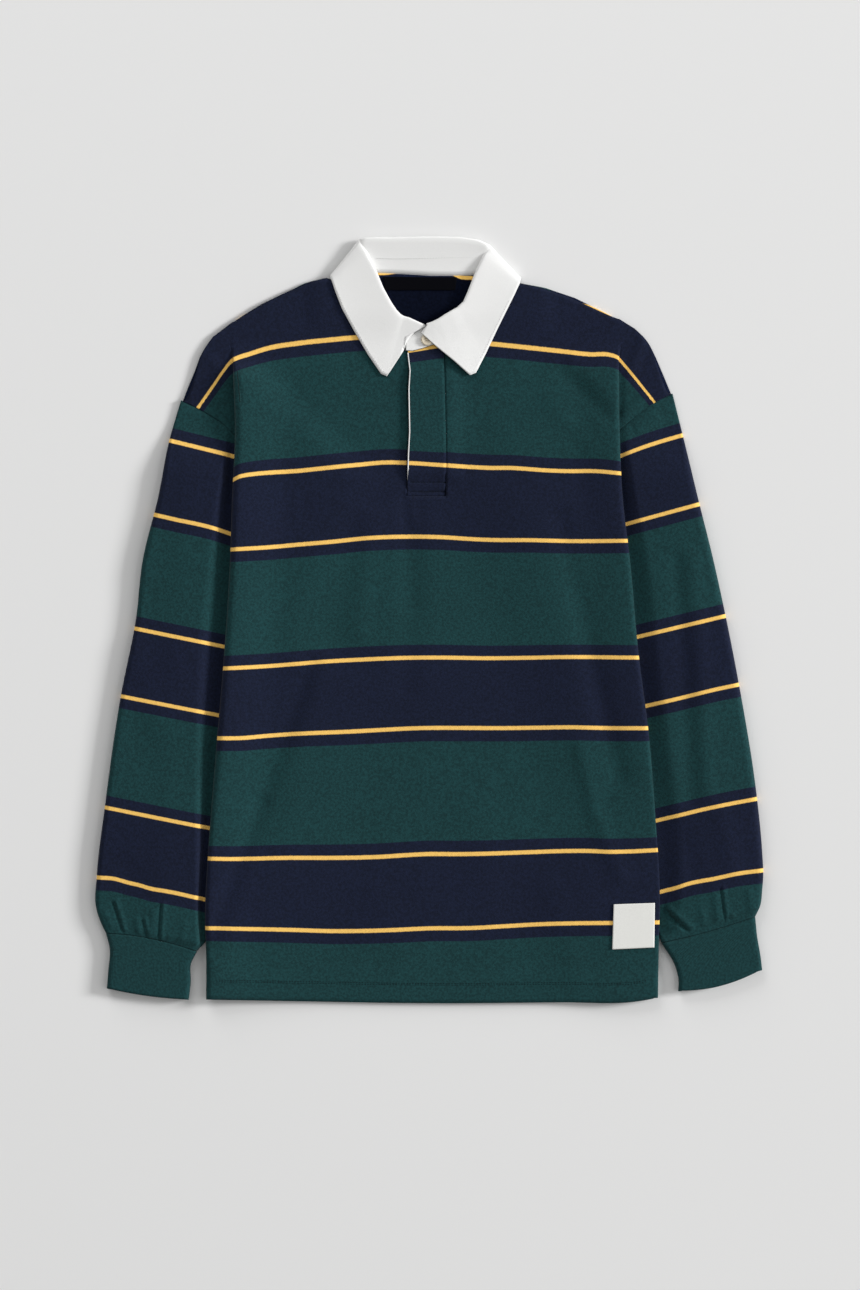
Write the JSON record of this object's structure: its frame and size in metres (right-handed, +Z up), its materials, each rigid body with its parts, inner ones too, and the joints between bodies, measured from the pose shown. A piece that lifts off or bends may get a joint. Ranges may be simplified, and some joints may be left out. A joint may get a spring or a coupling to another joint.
{
  "type": "rugby sweatshirt laid flat",
  "caption": "Long-sleeved rugby-collar sweatshirt laid flat on its back, sleeves folded down under the sides, striped jersey, white collar, half placket and bare hem patch.",
  "frame": {"origin": "centre of the bounding box's bottom, on the surface that the garment lies on", "axes": "+Y towards the neck, +X towards the wearer's left sleeve (right in the picture), +Z up out of the chest"},
  "size_m": [0.6673, 0.7671, 0.0128],
  "materials": {
    "striped_jersey": "brushed cotton jersey, dyed in bottle green, navy and yellow bands",
    "rib": "fine cotton rib, folded double",
    "white_twill": "white cotton twill, matte",
    "woven_patch": "white woven patch, bare",
    "woven_label": "dark woven label, bare",
    "button": "off-white polyester button, satin"
  },
  "bodies": {
    "root": {"front_panel": "striped_jersey", "back_panel": "striped_jersey", "sleeve_right": "striped_jersey", "sleeve_left": "striped_jersey", "cuff_right": "rib", "cuff_left": "rib", "collar": "white_twill", "collar_tab": "white_twill", "placket_top": "striped_jersey", "placket_under": "white_twill", "collar_button": "button", "neck_label": "woven_label", "hem_patch": "woven_patch"}
  },
  "joints": []
}
